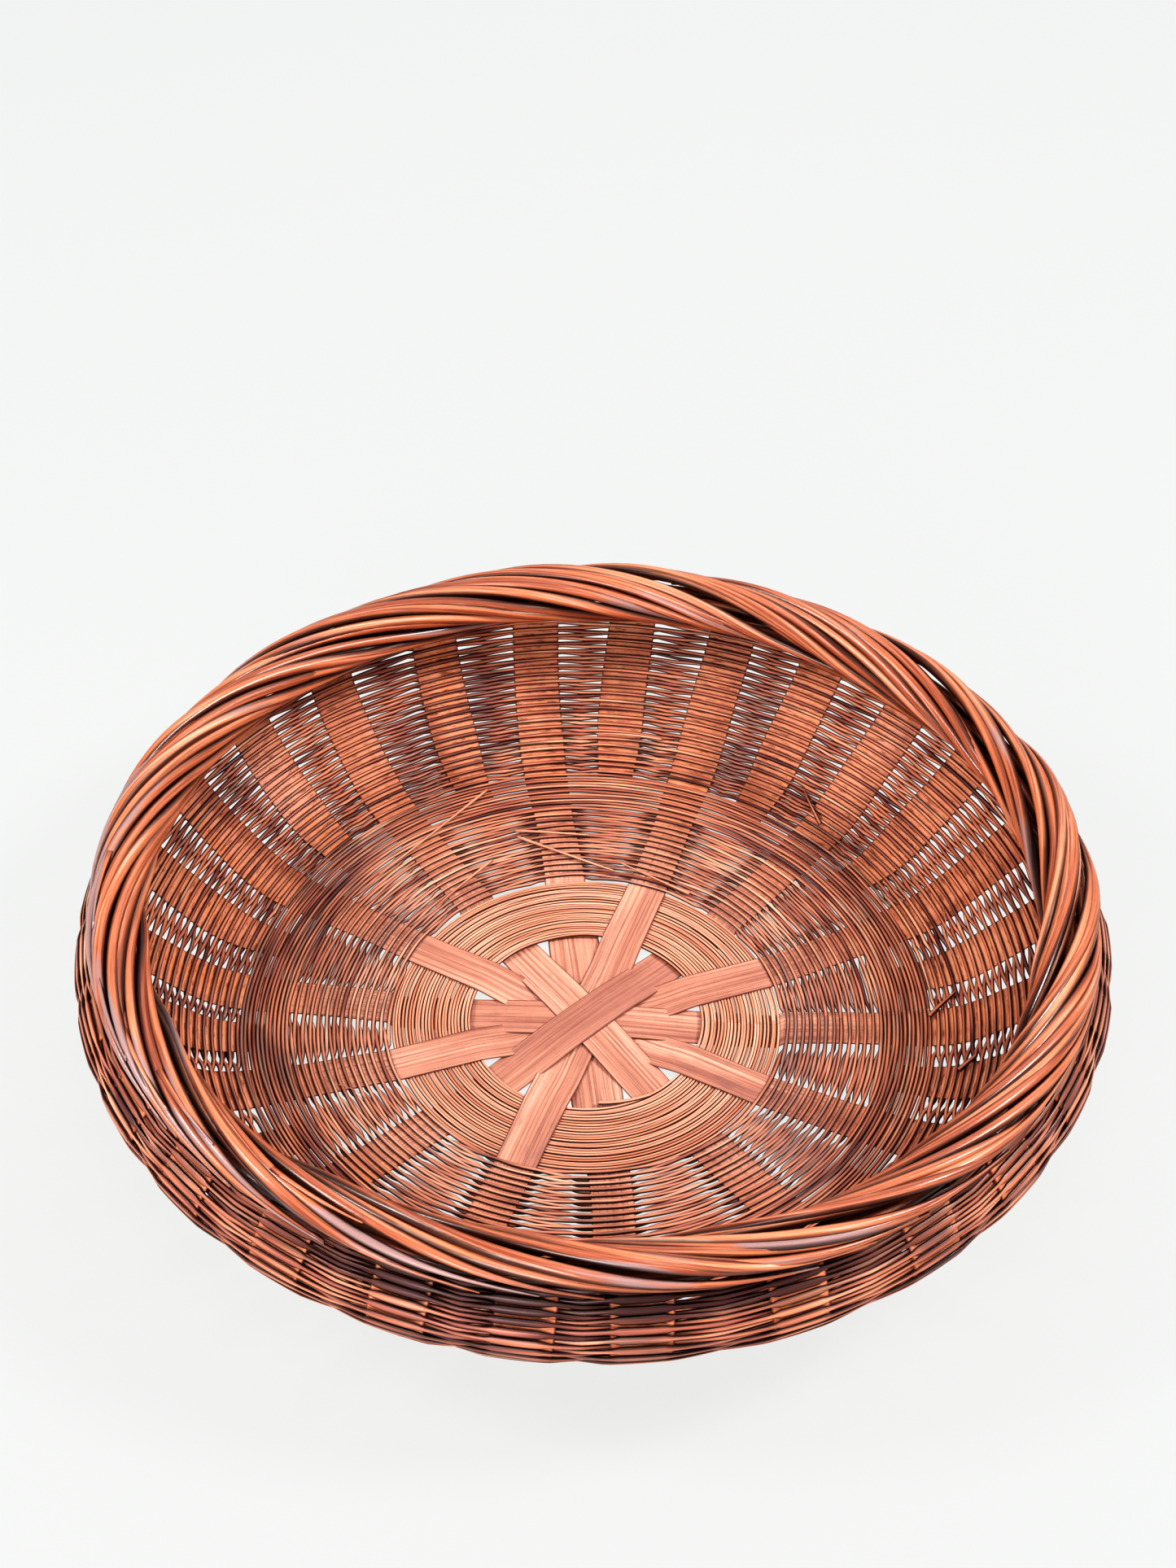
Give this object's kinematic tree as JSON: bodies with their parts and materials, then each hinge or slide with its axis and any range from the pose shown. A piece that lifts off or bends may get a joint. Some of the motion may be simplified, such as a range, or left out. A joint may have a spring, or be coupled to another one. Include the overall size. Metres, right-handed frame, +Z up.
{
  "type": "wicker basket",
  "caption": "Shallow round wicker basket: crossed flat splints locked by a coiled ring, finely woven bowl that bulges below the top, and a rolled rod rim.",
  "frame": {"origin": "centre of the basket's base, on the surface that it stands on", "axes": "+Z up along the basket's axis, out of its mouth; +X and +Y across the base"},
  "size_m": [0.309, 0.309, 0.0718],
  "materials": {
    "splint": "matt split cane, pinkish tan",
    "ring_strand": "matt fine strands, peach orange",
    "weaver": "matt fine strands, reddish brown",
    "stake": "matt split cane, orange brown",
    "rim_rod": "peeled rod with a soft gloss, orange"
  },
  "bodies": {
    "root": {"base_splint_1": "splint", "base_splint_2": "splint", "base_splint_3": "splint", "base_splint_4": "splint", "base_splint_5": "splint", "base_splint_6": "splint", "base_splint_7": "splint", "base_ring": "ring_strand", "floor_weave": "weaver", "dense_weave": "weaver", "turn_weave": "weaver", "lower_wall_weave": "weaver", "upper_wall_weave": "weaver", "side_stake_01": "stake", "side_stake_02": "stake", "side_stake_03": "stake", "side_stake_04": "stake", "side_stake_05": "stake", "side_stake_06": "stake", "side_stake_07": "stake", "side_stake_08": "stake", "side_stake_09": "stake", "side_stake_10": "stake", "side_stake_11": "stake", "side_stake_12": "stake", "side_stake_13": "stake", "side_stake_14": "stake", "rim_bundle_01": "rim_rod", "rim_bundle_02": "rim_rod", "rim_bundle_03": "rim_rod", "rim_bundle_04": "rim_rod", "rim_bundle_05": "rim_rod", "rim_bundle_06": "rim_rod", "rim_bundle_07": "rim_rod", "rim_bundle_08": "rim_rod", "rim_bundle_09": "rim_rod", "rim_bundle_10": "rim_rod", "rim_bundle_11": "rim_rod", "rim_bundle_12": "rim_rod", "rim_bundle_13": "rim_rod", "rim_bundle_14": "rim_rod", "rim_bundle_15": "rim_rod", "rim_bundle_16": "rim_rod", "rim_bundle_17": "rim_rod", "rim_bundle_18": "rim_rod", "rim_bundle_19": "rim_rod", "rim_bundle_20": "rim_rod", "rim_bundle_21": "rim_rod", "rim_bundle_22": "rim_rod", "rim_bundle_23": "rim_rod", "rim_bundle_24": "rim_rod", "rim_bundle_25": "rim_rod", "rim_bundle_26": "rim_rod", "rim_bundle_27": "rim_rod", "rim_bundle_28": "rim_rod"}
  },
  "joints": []
}
